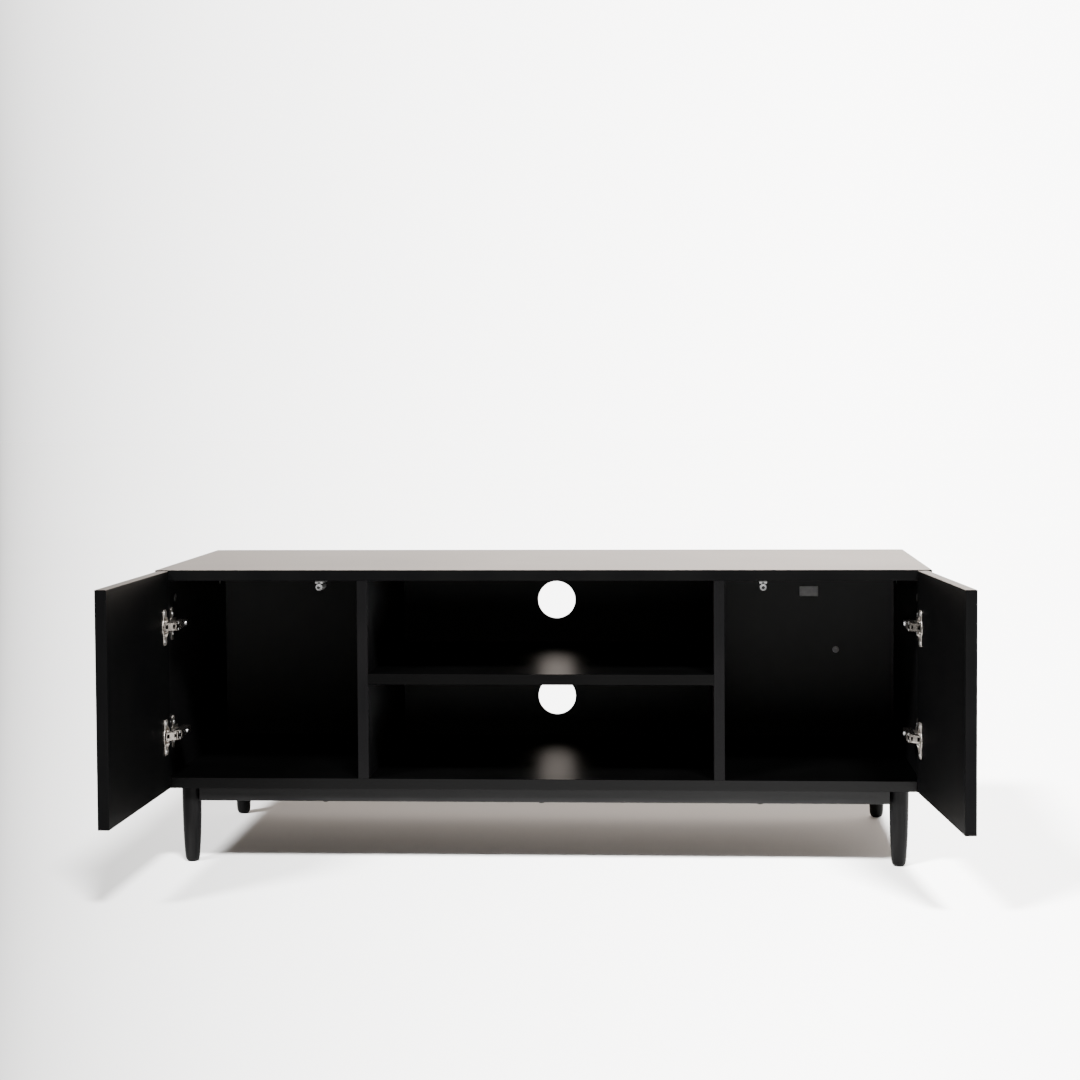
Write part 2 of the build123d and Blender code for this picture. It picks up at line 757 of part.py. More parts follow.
with BuildPart() as plate_screws:
    for side, angle in sides.values():
        for level in hinge_levels.values():
            top = Plane(world(side, (plate_thickness, -plate_line), level), (0, 1, 0), (-side, 0, 0))
            for step in (-1, 1):
                with BuildSketch(top):
                    with Locations((0, step * plate_screw_spacing / 2)):
                        shank(plate_screw_radius)
                extrude(amount=-plate_screw_length)
                with BuildSketch(top):
                    with Locations((0, step * plate_screw_spacing / 2)):
                        small_round(plate_screw_head_radius)
                extrude(amount=plate_screw_head_height)
save(plate_screws, "plate_screws")

with BuildPart() as clamp_screws:
    for side, angle in sides.values():
        for level in hinge_levels.values():
            place = (arm_height, -plate_line - clamp_screw_behind_line)
            top = Plane(world(side, place, level), (0, 1, 0), (-side, 0, 0))
            with BuildSketch(top):
                shank(clamp_screw_radius)
            extrude(amount=-clamp_screw_length)
            with BuildSketch(top):
                small_round(clamp_screw_head_radius)
            extrude(amount=clamp_screw_head_height)
save(clamp_screws, "clamp_screws")

# Push latches

latch_z = top_underside - latch_drop
latch_front = front + latch_set_back
plunger_tip = front - door_gap + plunger_clear_of_door
plunger_back = plunger_tip + plunger_length
for hand, (side, angle) in sides.items():
    latch_x = side * latch_offset
    with BuildPart() as housing:
        with BuildSketch(Plane((latch_x, latch_front, latch_z), (1, 0, 0), (0, 1, 0))):
            large_round(latch_barrel_radius)
        extrude(amount=latch_length)
        with BuildSketch(Plane.XY.offset(top_underside)):
            with Locations((latch_x, latch_front + (latch_length + latch_ear_length) / 2)):
                Rectangle(latch_base_width, latch_length + latch_ear_length)
        extrude(amount=-latch_base_height)
        with BuildSketch(Plane.XY.offset(top_underside)):
            with Locations((latch_x, latch_front + latch_length / 2)):
                Rectangle(latch_neck_width, latch_length)
        extrude(amount=-latch_drop)
        with BuildSketch(Plane((latch_x, latch_front, latch_z), (1, 0, 0), (0, 1, 0))):
            large_round(plunger_radius + plunger_play)
        extrude(amount=plunger_back + plunger_travel + layer_gap - latch_front, mode=Mode.SUBTRACT)
        with BuildSketch(Plane.XY.offset(top_underside)):
            for back_step in (0.25, 0.75):
                with Locations((latch_x, latch_front + latch_length + back_step * latch_ear_length)):
                    shank(latch_screw_radius + fit)
        extrude(amount=-latch_base_height, mode=Mode.SUBTRACT)
    save(housing, f"{hand}_latch_housing")

    with BuildPart() as plunger:
        with BuildSketch(Plane((latch_x, plunger_tip, latch_z), (1, 0, 0), (0, 1, 0))):
            large_round(plunger_radius)
        extrude(amount=plunger_length)
        chamfer(plunger.edges().group_by(Axis.Y)[0], edge_ease)
        with BuildSketch(Plane((latch_x, plunger_tip, latch_z), (1, 0, 0), (0, 1, 0))):
            small_round(plunger_dimple_radius)
        extrude(amount=plunger_dimple_depth, mode=Mode.SUBTRACT)
    save(plunger, f"{hand}_latch_plunger")

with BuildPart() as latch_screws:
    for latch_x in (-latch_offset, latch_offset):
        for back_step in (0.25, 0.75):
            screw_y = latch_front + latch_length + back_step * latch_ear_length
            with BuildSketch(Plane((latch_x, screw_y, top_underside - latch_base_height))):
                shank(latch_screw_radius)
            extrude(amount=latch_screw_length)
            with BuildSketch(Plane((latch_x, screw_y, top_underside - latch_base_height))):
                small_round(latch_screw_head_radius)
            extrude(amount=-latch_screw_head_height)
save(latch_screws, "latch_screws")
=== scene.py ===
import math

import bmesh
import bpy
import numpy
from mathutils import Euler, Matrix, Vector


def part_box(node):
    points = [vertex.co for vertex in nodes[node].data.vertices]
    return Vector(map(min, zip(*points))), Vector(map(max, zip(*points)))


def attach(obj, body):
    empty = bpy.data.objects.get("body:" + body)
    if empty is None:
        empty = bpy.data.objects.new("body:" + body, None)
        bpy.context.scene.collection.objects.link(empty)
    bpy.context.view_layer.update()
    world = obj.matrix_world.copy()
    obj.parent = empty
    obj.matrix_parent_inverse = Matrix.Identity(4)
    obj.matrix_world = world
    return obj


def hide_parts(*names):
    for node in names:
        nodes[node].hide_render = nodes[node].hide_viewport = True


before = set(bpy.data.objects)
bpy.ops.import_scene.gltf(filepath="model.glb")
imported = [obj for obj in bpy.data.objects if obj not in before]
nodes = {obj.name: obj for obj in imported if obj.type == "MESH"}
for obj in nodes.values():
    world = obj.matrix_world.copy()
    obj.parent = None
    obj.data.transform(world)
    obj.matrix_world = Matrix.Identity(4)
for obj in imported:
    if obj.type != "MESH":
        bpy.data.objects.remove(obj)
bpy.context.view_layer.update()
print("frame loaded:", len(nodes), "nodes")


# camera, at the photograph's place
shotCamera = {
    "place": (0.24447, -3.74702, 0.78359),
    "turn": (87.4744, 0.3019, 3.3257),
    "lens": 70.41,
    "sensor": 36.0,
    "shift": (-0.02121, -0.04355),
    "clipEnd": 60.0,
}


def placeCamera(c):
    data = bpy.data.cameras.new("shotCamera")
    data.lens = c["lens"]
    data.sensor_width = c["sensor"]
    data.shift_x, data.shift_y = c["shift"]
    data.clip_end = c["clipEnd"]
    cam = bpy.data.objects.new("shotCamera", data)
    cam.location = c["place"]
    cam.rotation_euler = Euler([math.radians(a) for a in c["turn"]])
    bpy.context.scene.collection.objects.link(cam)
    bpy.context.scene.camera = cam


placeCamera(shotCamera)
print("camera placed")


# materials
def newMaterial(name):
    mat = bpy.data.materials.new(name)
    mat.use_nodes = True
    tree = mat.node_tree
    return mat, tree, tree.nodes["Principled BSDF"]


def addNode(tree, kind, **inputs):
    node = tree.nodes.new(kind)
    for key, value in inputs.items():
        node.inputs[key.replace("_", " ")].default_value = value
    return node


def objectCoords(tree, scale=(1, 1, 1)):
    coords = tree.nodes.new("ShaderNodeTexCoord")
    mapping = tree.nodes.new("ShaderNodeMapping")
    mapping.inputs["Scale"].default_value = scale
    tree.links.new(coords.outputs["Object"], mapping.inputs["Vector"])
    return mapping.outputs["Vector"]


def noiseAt(tree, vector, scale, detail=3.0, rough=0.5):
    noise = addNode(tree, "ShaderNodeTexNoise", Scale=scale, Detail=detail, Roughness=rough)
    tree.links.new(vector, noise.inputs["Vector"])
    return noise.outputs["Fac"]


def rampOf(tree, fac, stops):
    ramp = tree.nodes.new("ShaderNodeValToRGB")
    bar = ramp.color_ramp
    while len(bar.elements) < len(stops):
        bar.elements.new(0.5)
    for element, (at, color) in zip(bar.elements, stops):
        element.position = at
        element.color = (*color, 1.0)
    tree.links.new(fac, ramp.inputs["Fac"])
    return ramp.outputs["Color"]


def spread(tree, fac, low, high):
    node = tree.nodes.new("ShaderNodeMapRange")
    node.inputs["To Min"].default_value = low
    node.inputs["To Max"].default_value = high
    tree.links.new(fac, node.inputs["Value"])
    return node.outputs["Result"]


def bumpFrom(tree, shader, height, strength, distance):
    bump = addNode(tree, "ShaderNodeBump", Strength=strength, Distance=distance)
    tree.links.new(height, bump.inputs["Height"])
    tree.links.new(bump.outputs["Normal"], shader.inputs["Normal"])


# black lacquers; the panels' front edges have an edge band with its own gloss
edgeBand = {"frontAt": -0.2398}
lacquerNoise = {"cloud": 9.0, "sheen": 3.0}
lacquers = {
    "satinBlackLacquer": {
        "dark": (0.0012, 0.0012, 0.0013), "light": (0.0019, 0.0018, 0.0019),
        "rough": (0.41, 0.45), "gloss": 0.030, "edgeGloss": 0.030,
    },
    # back panel: the inner faces are a paler black, painted light; the outside colour is the real black
    "backBlackPaintedLight": {
        "dark": (0.018, 0.018, 0.0185), "light": (0.020, 0.020, 0.0205),
        "rough": (0.50, 0.56), "gloss": 0.030, "edgeGloss": 0.030,
        "paintedLightTo": 0.226, "outside": (0.0014, 0.0014, 0.0015),
    },
    # the top, door, shelf and bottom copies of the black lacquer have darker base colours than the carcass
    # lacquer: painted shade
    "topBlackPaintedShade": {
        "dark": (0.0009, 0.0009, 0.0010), "light": (0.0015, 0.0015, 0.0015),
        "rough": (0.41, 0.45), "gloss": 0.038, "edgeGloss": 0.013,
    },
    "doorBlackPaintedShade": {
        "dark": (0.0008, 0.0008, 0.0009), "light": (0.0013, 0.0013, 0.0013),
        "rough": (0.41, 0.45), "gloss": 0.010, "edgeGloss": 0.016,
    },
    "shelfBlackPaintedShade": {
        "dark": (0.0003, 0.0003, 0.0003), "light": (0.0005, 0.0005, 0.0005),
        "rough": (0.32, 0.35), "gloss": 0.0018, "edgeGloss": 0.037,
    },
    "bottomBlackPaintedShade": {
        "dark": (0.0003, 0.0003, 0.0003), "light": (0.0005, 0.0005, 0.0005),
        "rough": (0.32, 0.35), "gloss": 0.0018, "edgeGloss": 0.066,
    },
}


# the back panel's inner side gets a paler black than its outside: painted light inside the compartments
def paleInsidePaintedLight(tree, inside, depth, d):
    behind = tree.nodes.new("ShaderNodeMath")
    behind.operation = "GREATER_THAN"
    behind.inputs[1].default_value = d["paintedLightTo"]
    tree.links.new(depth, behind.inputs[0])
    mix = tree.nodes.new("ShaderNodeMixRGB")
    mix.inputs["Color2"].default_value = (*d["outside"], 1.0)
    tree.links.new(behind.outputs["Value"], mix.inputs["Fac"])
    tree.links.new(inside, mix.inputs["Color1"])
    return mix.outputs["Color"]


def makeLacquer(name, d):
    mat, tree, shader = newMaterial(name)
    vector = objectCoords(tree)
    parts = tree.nodes.new("ShaderNodeSeparateXYZ")
    tree.links.new(vector, parts.inputs["Vector"])
    cloud = noiseAt(tree, vector, lacquerNoise["cloud"], 4.0)
    color = rampOf(tree, cloud, [(0.3, d["dark"]), (0.75, d["light"])])
    # paler inner faces of the back panel: painted light
    if "outside" in d:
        color = paleInsidePaintedLight(tree, color, parts.outputs["Y"], d)
    tree.links.new(color, shader.inputs["Base Color"])
    sheen = noiseAt(tree, vector, lacquerNoise["sheen"], 2.0)
    tree.links.new(spread(tree, sheen, *d["rough"]), shader.inputs["Roughness"])
    band = tree.nodes.new("ShaderNodeMath")
    band.operation = "LESS_THAN"
    band.inputs[1].default_value = edgeBand["frontAt"]
    tree.links.new(parts.outputs["Y"], band.inputs[0])
    gloss = spread(tree, band.outputs["Value"], d["gloss"], d["edgeGloss"])
    tree.links.new(gloss, shader.inputs["Specular IOR Level"])
    return mat


blackStain = {
    "dark": (0.0012, 0.0012, 0.0013), "light": (0.0034, 0.0033, 0.0033), "rough": (0.44, 0.54),
    "gloss": 0.048, "railGloss": 0.12, "grain": 160.0, "bump": 0.08, "bumpHeight": 0.00004,
    "upright": (1.0, 1.0, 0.06), "level": (0.06, 1.0, 1.0),
}


def makeStain(name, d, along, gloss):
    mat, tree, shader = newMaterial(name)
    vector = objectCoords(tree, along)
    grain = noiseAt(tree, vector, d["grain"], 6.0, 0.6)
    tree.links.new(rampOf(tree, grain, [(0.35, d["dark"]), (0.7, d["light"])]), shader.inputs["Base Color"])
    tree.links.new(spread(tree, grain, *d["rough"]), shader.inputs["Roughness"])
    shader.inputs["Specular IOR Level"].default_value = gloss
    bumpFrom(tree, shader, grain, d["bump"], d["bumpHeight"])
    return mat


platingNoise = {"cloud": 120.0, "sheen": 340.0, "skin": 900.0, "bump": 0.1, "bumpHeight": 0.00003}
plating = {
    "satinNickel": {"dark": (0.178, 0.163, 0.148), "light": (0.285, 0.263, 0.240), "rough": (0.27, 0.37)},
    # the cup's nickel is paler than the plate's: painted highlight
    "cupPaintedHighlightNickel": {"dark": (0.34, 0.312, 0.285), "light": (0.50, 0.462, 0.425), "rough": (0.36, 0.46)},
    # the arm's and links' nickel is darker than the plate's: painted shade
    "armPaintedShadeNickel": {"dark": (0.080, 0.073, 0.066), "light": (0.150, 0.138, 0.126), "rough": (0.22, 0.31)},
    "blackZinc": {"dark": (0.004, 0.004, 0.004), "light": (0.010, 0.010, 0.010), "rough": (0.34, 0.44)},
    "zincPlate": {"dark": (0.24, 0.245, 0.25), "light": (0.36, 0.36, 0.36), "rough": (0.26, 0.38)},
}


def makePlating(name, d):
    mat, tree, shader = newMaterial(name)
    shader.inputs["Metallic"].default_value = 1.0
    vector = objectCoords(tree)
    cloud = noiseAt(tree, vector, platingNoise["cloud"], 4.0)
    tree.links.new(rampOf(tree, cloud, [(0.3, d["dark"]), (0.7, d["light"])]), shader.inputs["Base Color"])
    sheen = noiseAt(tree, vector, platingNoise["sheen"], 3.0)
    tree.links.new(spread(tree, sheen, *d["rough"]), shader.inputs["Roughness"])
    skin = noiseAt(tree, vector, platingNoise["skin"], 2.0)
    bumpFrom(tree, shader, skin, platingNoise["bump"], platingNoise["bumpHeight"])
    return mat


mouldedSkin = {"scale": 1400.0, "bump": 0.15, "bumpHeight": 0.00004}
moulded = {
    "latchPlastic": {
        "dark": (0.055, 0.055, 0.055), "light": (0.075, 0.075, 0.074), "rough": (0.42, 0.55), "gloss": 0.5,
        "cloud": 90.0,
    },
    # near-black tip in the latch dimple: painted shade
    "nearBlackShadeTip": {
        "dark": (0.003, 0.003, 0.003), "light": (0.006, 0.006, 0.006), "rough": (0.6, 0.75), "gloss": 0.06,
        "cloud": 300.0,
    },
    "labelFilm": {
        "dark": (0.062, 0.062, 0.063), "light": (0.085, 0.085, 0.085), "rough": (0.5, 0.62), "gloss": 0.5,
        "cloud": 160.0,
    },
    "rawBeech": {
        "dark": (0.36, 0.22, 0.12), "light": (0.56, 0.38, 0.23), "rough": (0.5, 0.65), "gloss": 0.4,
        "cloud": 60.0,
    },
}


def makeMoulded(name, d):
    mat, tree, shader = newMaterial(name)
    vector = objectCoords(tree)
    cloud = noiseAt(tree, vector, d["cloud"], 4.0)
    tree.links.new(rampOf(tree, cloud, [(0.3, d["dark"]), (0.7, d["light"])]), shader.inputs["Base Color"])
    tree.links.new(spread(tree, cloud, *d["rough"]), shader.inputs["Roughness"])
    shader.inputs["Specular IOR Level"].default_value = d["gloss"]
    skin = noiseAt(tree, vector, mouldedSkin["scale"], 2.0)
    bumpFrom(tree, shader, skin, mouldedSkin["bump"], mouldedSkin["bumpHeight"])
    return mat


finishes = {
    "lacquer": makeLacquer("satinBlackLacquer", lacquers["satinBlackLacquer"]),
    "backFinishPaintedLight": makeLacquer("backBlackPaintedLight", lacquers["backBlackPaintedLight"]),
    "topFinishPaintedShade": makeLacquer("topBlackPaintedShade", lacquers["topBlackPaintedShade"]),
    "doorFinishPaintedShade": makeLacquer("doorBlackPaintedShade", lacquers["doorBlackPaintedShade"]),
    "shelfFinishPaintedShade": makeLacquer("shelfBlackPaintedShade", lacquers["shelfBlackPaintedShade"]),
    "bottomFinishPaintedShade": makeLacquer("bottomBlackPaintedShade", lacquers["bottomBlackPaintedShade"]),
    "legStain": makeStain("blackStainUpright", blackStain, blackStain["upright"], blackStain["gloss"]),
    "railStain": makeStain("blackStainLevel", blackStain, blackStain["level"], blackStain["railGloss"]),
    "nickel": makePlating("satinNickel", plating["satinNickel"]),
    "cupPaintedHighlightNickel": makePlating("cupPaintedHighlightNickel", plating["cupPaintedHighlightNickel"]),
    "armPaintedShadeNickel": makePlating("armPaintedShadeNickel", plating["armPaintedShadeNickel"]),
    "blackZinc": makePlating("blackZinc", plating["blackZinc"]),
    "zinc": makePlating("zincPlate", plating["zincPlate"]),
    "plastic": makeMoulded("greyLatchPlastic", moulded["latchPlastic"]),
    "shadeTipFinish": makeMoulded("paintedShadeTipBlack", moulded["nearBlackShadeTip"]),
    "label": makeMoulded("blankLabelFilm", moulded["labelFilm"]),
    "beech": makeMoulded("rawBeech", moulded["rawBeech"]),
}

finishWords = [
    ("beech", ["dowels"]),
    ("plastic", ["latch_housing", "latch_plunger"]),
    ("zinc", ["screws", "pins", "bolts", "inserts", "locks"]),
    ("cupPaintedHighlightNickel", ["hinge_cup"]),
    ("armPaintedShadeNickel", ["hinge_arm", "link"]),
    ("nickel", ["mounting_plate"]),
    ("legStain", ["leg"]),
    ("railStain", ["rail"]),
    ("backFinishPaintedLight", ["back_panel"]),
    ("topFinishPaintedShade", ["top_panel"]),
    ("doorFinishPaintedShade", ["door"]),
    ("shelfFinishPaintedShade", ["shelf"]),
    ("bottomFinishPaintedShade", ["bottom_panel"]),
]


def finishFor(name):
    for key, words in finishWords:
        if any(word in name for word in words):
            return finishes[key]
    return finishes["lacquer"]


for name, node in nodes.items():
    node.data.materials.clear()
    node.data.materials.append(finishFor(name))
print("materials on", len(nodes), "nodes")


# pressed steel: a small round on the hinges' edges, so that they catch the light
pressedEdge = {
    "on": ("hinge_cup", "hinge_arm", "mounting_plate", "outer_link", "inner_link"),
    "weld": 0.000004, "width": 0.00035, "segments": 2, "angle": 40.0,
}


def roundEdges(node, d):
    weld = node.modifiers.new("weldSeams", "WELD")
    weld.merge_threshold = d["weld"]
    edge = node.modifiers.new("pressedEdge", "BEVEL")
    edge.width = d["width"]
    edge.segments = d["segments"]
    edge.limit_method = "ANGLE"
    edge.angle_limit = math.radians(d["angle"])
    edge.use_clamp_overlap = True


for name, node in nodes.items():
    if any(word in name for word in pressedEdge["on"]):
        roundEdges(node, pressedEdge)
print("hinge edges rounded")


# stage: one pale floor
def clearSelection():
    if bpy.context.object and bpy.context.object.mode != "OBJECT":
        bpy.ops.object.mode_set(mode="OBJECT")
    bpy.ops.object.select_all(action="DESELECT")


studioFloor = {"size": 40.0, "nearEdge": -2.4, "tone": (0.92, 0.918, 0.910), "mottle": 0.985,
               "mottleScale": 1.3, "rough": 0.9}
# the studio's light fades to the left: painted shade in the floor's colour, and on the wall behind alike
sideFade = {"seenFrom": shotCamera["place"], "from": -0.313, "to": 0.077, "low": 0.14, "curve": 0.62}


def fadeAcross(tree, across, d):
    along = addNode(tree, "ShaderNodeMapRange", From_Min=d["from"], From_Max=d["to"])
    tree.links.new(across, along.inputs["Value"])
    curve = tree.nodes.new("ShaderNodeMath")
    curve.operation = "POWER"
    curve.inputs[1].default_value = d["curve"]
    tree.links.new(along.outputs["Result"], curve.inputs[0])
    return spread(tree, curve.outputs["Value"], d["low"], 1.0)


def makeFloor(d):
    clearSelection()
    bpy.ops.mesh.primitive_plane_add(size=d["size"], location=(0, d["nearEdge"] + d["size"] / 2, 0))
    floor = bpy.context.object
    bpy.ops.object.transform_apply(location=True, rotation=True, scale=True)
    floor.name = "studioFloor"
    mat, tree, shader = newMaterial("paleFloor")
    vector = objectCoords(tree)
    tone = d["tone"]
    stops = [(0.3, tuple(d["mottle"] * t for t in tone)), (0.7, tone)]
    mottle = noiseAt(tree, vector, d["mottleScale"], 3.0)
    offset = tree.nodes.new("ShaderNodeVectorMath")
    offset.operation = "SUBTRACT"
    offset.inputs[1].default_value = sideFade["seenFrom"]
    tree.links.new(vector, offset.inputs[0])
    toward = tree.nodes.new("ShaderNodeVectorMath")
    toward.operation = "NORMALIZE"
    tree.links.new(offset.outputs["Vector"], toward.inputs[0])
    parts = tree.nodes.new("ShaderNodeSeparateXYZ")
    tree.links.new(toward.outputs["Vector"], parts.inputs["Vector"])
    # painted shade: the floor's colour darkens towards the left
    faded = tree.nodes.new("ShaderNodeVectorMath")
    faded.operation = "SCALE"
    tree.links.new(rampOf(tree, mottle, stops), faded.inputs[0])
    tree.links.new(fadeAcross(tree, parts.outputs["X"], sideFade), faded.inputs["Scale"])
    tree.links.new(faded.outputs["Vector"], shader.inputs["Base Color"])
    shader.inputs["Roughness"].default_value = d["rough"]
    shader.inputs["Specular IOR Level"].default_value = 0.0
    floor.data.materials.append(mat)


makeFloor(studioFloor)


# light: a bright warm room behind, brighter to the right, dark on the near side, and two soft suns
studioLight = {
    "tint": (1.0, 0.89, 0.805), "front": 0.30,
    "middle": 1.5, "middleFrom": 0.10, "middleTo": 0.50,
    "glow": 11.0, "glowFrom": 0.84, "glowTo": 0.99,
    "left": 0.60, "right": 1.45, "sideFrom": -0.35, "sideTo": 0.35,
    "wallTint": (1.0, 0.990, 0.979), "wall": 9.3,
    "sunReach": 3.0,
    "suns": [
        {"from": (0.27, -0.67, 1.0), "power": 22.0, "spread": 11.0},
        {"from": (-0.60, -0.67, 1.0), "power": 15.0, "spread": 11.0},
    ],
}


def remap(tree, value, low, high, toLow, toHigh):
    node = addNode(tree, "ShaderNodeMapRange", From_Min=low, From_Max=high, To_Min=toLow, To_Max=toHigh)
    node.interpolation_type = "SMOOTHSTEP"
    tree.links.new(value, node.inputs["Value"])
    return node.outputs["Result"]


def lightScene(d):
    world = bpy.data.worlds.new("paleRoom")
    bpy.context.scene.world = world
    world.use_nodes = True
    tree = world.node_tree
    coords = tree.nodes.new("ShaderNodeTexCoord")
    parts = tree.nodes.new("ShaderNodeSeparateXYZ")
    tree.links.new(coords.outputs["Generated"], parts.inputs["Vector"])
    room = tree.nodes["Background"]
    room.inputs["Color"].default_value = (*d["tint"], 1.0)
    depth = parts.outputs["Y"]
    inDepth = tree.nodes.new("ShaderNodeMath")
    inDepth.operation = "ADD"
    broad = remap(tree, depth, d["middleFrom"], d["middleTo"], d["front"], d["middle"])
    narrow = remap(tree, depth, d["glowFrom"], d["glowTo"], 0.0, d["glow"])
    tree.links.new(broad, inDepth.inputs[0])
    tree.links.new(narrow, inDepth.inputs[1])
    strength = tree.nodes.new("ShaderNodeMath")
    strength.operation = "MULTIPLY"
    across = remap(tree, parts.outputs["X"], d["sideFrom"], d["sideTo"], d["left"], d["right"])
    tree.links.new(inDepth.outputs["Value"], strength.inputs[0])
    tree.links.new(across, strength.inputs[1])
    tree.links.new(strength.outputs["Value"], room.inputs["Strength"])
    # the wall seen behind: its brightness fades to the left alike, painted shade
    wall = tree.nodes.new("ShaderNodeBackground")
    wall.inputs["Color"].default_value = (*d["wallTint"], 1.0)
    seen = tree.nodes.new("ShaderNodeMath")
    seen.operation = "MULTIPLY"
    seen.inputs[1].default_value = d["wall"]
    tree.links.new(fadeAcross(tree, parts.outputs["X"], sideFade), seen.inputs[0])
    tree.links.new(seen.outputs["Value"], wall.inputs["Strength"])
    rays = tree.nodes.new("ShaderNodeLightPath")
    mix = tree.nodes.new("ShaderNodeMixShader")
    tree.links.new(rays.outputs["Is Camera Ray"], mix.inputs["Fac"])
    tree.links.new(room.outputs["Background"], mix.inputs[1])
    tree.links.new(wall.outputs["Background"], mix.inputs[2])
    tree.links.new(mix.outputs["Shader"], tree.nodes["World Output"].inputs["Surface"])
    for each in d["suns"]:
        sun = bpy.data.lights.new("softSun", "SUN")
        sun.energy = each["power"]
        sun.angle = math.radians(each["spread"])
        lamp = bpy.data.objects.new("softSun", sun)
        lamp.location = Vector(each["from"]) * d["sunReach"]
        lamp.rotation_euler = (-Vector(each["from"])).to_track_quat("-Z", "Y").to_euler()
        bpy.context.scene.collection.objects.link(lamp)


lightScene(studioLight)
print("stage and light set")


# pieces
def startEdit():
    bpy.ops.object.mode_set(mode="EDIT")
    bpy.ops.mesh.select_all(action="SELECT")


def endEdit():
    bpy.ops.mesh.select_all(action="SELECT")
    bpy.ops.mesh.remove_doubles(threshold=0.000001)
    bpy.ops.mesh.normals_make_consistent(inside=False)
    bpy.ops.object.mode_set(mode="OBJECT")


def applyAll(piece):
    clearSelection()
    piece.select_set(True)
    bpy.context.view_layer.objects.active = piece
    for m in list(piece.modifiers):
        bpy.ops.object.modifier_apply(modifier=m.name)
    bpy.ops.object.transform_apply(location=True, rotation=True, scale=True)


def dress(piece, name, finish, body, angle=35):
    applyAll(piece)
    piece.name = name
    piece.data.name = name
    bpy.ops.object.shade_smooth_by_angle(angle=math.radians(angle))
    piece.data.materials.clear()
    piece.data.materials.append(finishes[finish])
    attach(piece, body)


# a turned form, drawn ring by ring up the Z axis
def lathe(sides, rings):
    clearSelection()
    height, radius = rings[0]
    bpy.ops.mesh.primitive_circle_add(vertices=sides, radius=radius, fill_type="NGON", location=(0, 0, 0))
    piece = bpy.context.object
    startEdit()
    bpy.ops.transform.translate(value=(0, 0, height))
    for (z0, r0), (z1, r1) in zip(rings, rings[1:]):
        bpy.ops.mesh.extrude_region_move(TRANSFORM_OT_translate={"value": (0, 0, z1 - z0)})
        bpy.ops.transform.resize(value=(r1 / r0, r1 / r0, 1), center_override=(0, 0, z1))
    endEdit()
    return piece


def block(size, middle, bevel=0.0, segments=3):
    clearSelection()
    bpy.ops.mesh.primitive_cube_add(size=1.0, location=(0, 0, 0))
    piece = bpy.context.object
    startEdit()
    bpy.ops.transform.resize(value=size, center_override=(0, 0, 0))
    bpy.ops.transform.translate(value=middle)
    if bevel:
        bpy.ops.mesh.bevel(offset=bevel, segments=segments)
    endEdit()
    return piece


def standAt(piece, spot, axis):
    turn = Vector((0, 0, 1)).rotation_difference(Vector(axis)).to_matrix().to_4x4()
    piece.matrix_world = Matrix.Translation(spot) @ turn


def combine(piece, other, operation):
    step = piece.modifiers.new(operation.lower(), "BOOLEAN")
    step.operation = operation
    step.solver = "EXACT"
    step.object = other
    applyAll(piece)
    bpy.data.objects.remove(other)


def joinAll(pieces):
    clearSelection()
    for piece in pieces:
        piece.select_set(True)
    bpy.context.view_layer.objects.active = pieces[0]
    bpy.ops.object.join()
    return pieces[0]


# legs
turnedLeg = {
    "sides": 56,
    "rings": [(0.0, 0.0076), (0.0008, 0.0088), (0.0025, 0.0104), (0.005, 0.01158), (0.008, 0.01222),
              (0.012, 0.01264), (0.019, 0.01311), (0.028, 0.01372), (0.038, 0.01434), (0.050, 0.01492),
              (0.065, 0.0154), (0.078, 0.01566), (0.094, 0.01598), (0.112, 0.01628), (0.130, 0.0165)],
}
for name in ("front_left_leg", "front_right_leg", "back_left_leg", "back_right_leg"):
    low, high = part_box(name)
    leg = lathe(turnedLeg["sides"], turnedLeg["rings"])
    standAt(leg, ((low.x + high.x) / 2, (low.y + high.y) / 2, low.z), (0, 0, 1))
    dress(leg, name + "Turned", "legStain", "cabinet")
    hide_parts(name)
print("legs turned")


# cross-head screws: each CAD screw gives the place, the direction and the sizes
crossHead = {
    "sides": 28, "slotReach": 0.62, "slotWidth": 0.20, "slotDepth": 0.6,
    "neck": 0.93, "point": 1.6, "pointEnd": 0.12,
    "rim": 0.985, "crown": 0.35, "shoulder": 0.93, "shoulderAt": 0.3, "face": 0.80,
    "wide": 0.9, "smooth": 30,
}
screwNodes = {
    "left_cup_screws": "left_door", "right_cup_screws": "right_door", "plate_screws": "cabinet",
    "clamp_screws": "cabinet", "latch_screws": "cabinet", "rail_screws": "cabinet",
    "carcass_screws": "cabinet",
}


def solidsOf(node):
    mesh = bmesh.new()
    mesh.from_mesh(node.data)
    bmesh.ops.remove_doubles(mesh, verts=mesh.verts, dist=0.000002)
    left, groups = set(mesh.verts), []
    while left:
        queue, group = [left.pop()], []
        while queue:
            vert = queue.pop()
            group.append(tuple(vert.co))
            for edge in vert.link_edges:
                other = edge.other_vert(vert)
                if other in left:
                    left.remove(other)
                    queue.append(other)
        groups.append(numpy.array(group))
    mesh.free()
    return groups


def measureScrew(d, points):
    centre = points.mean(0)
    values, axes = numpy.linalg.eigh(numpy.cov((points - centre).T))
    axis = axes[:, values.argmax()]
    along = (points - centre) @ axis
    reach = numpy.linalg.norm(points - centre - numpy.outer(along, axis), axis=1)
    wide = reach > d["wide"] * reach.max()
    if along[wide].mean() < (along.max() + along.min()) / 2:
        axis, along = -axis, -along
    return {
        "seat": centre + axis * along[wide].min(),
        "axis": axis,
        "head": reach.max(),
        "rise": along[wide].max() - along[wide].min(),
        "shank": reach[~wide].min(),
        "length": along[wide].min() - along.min(),
    }


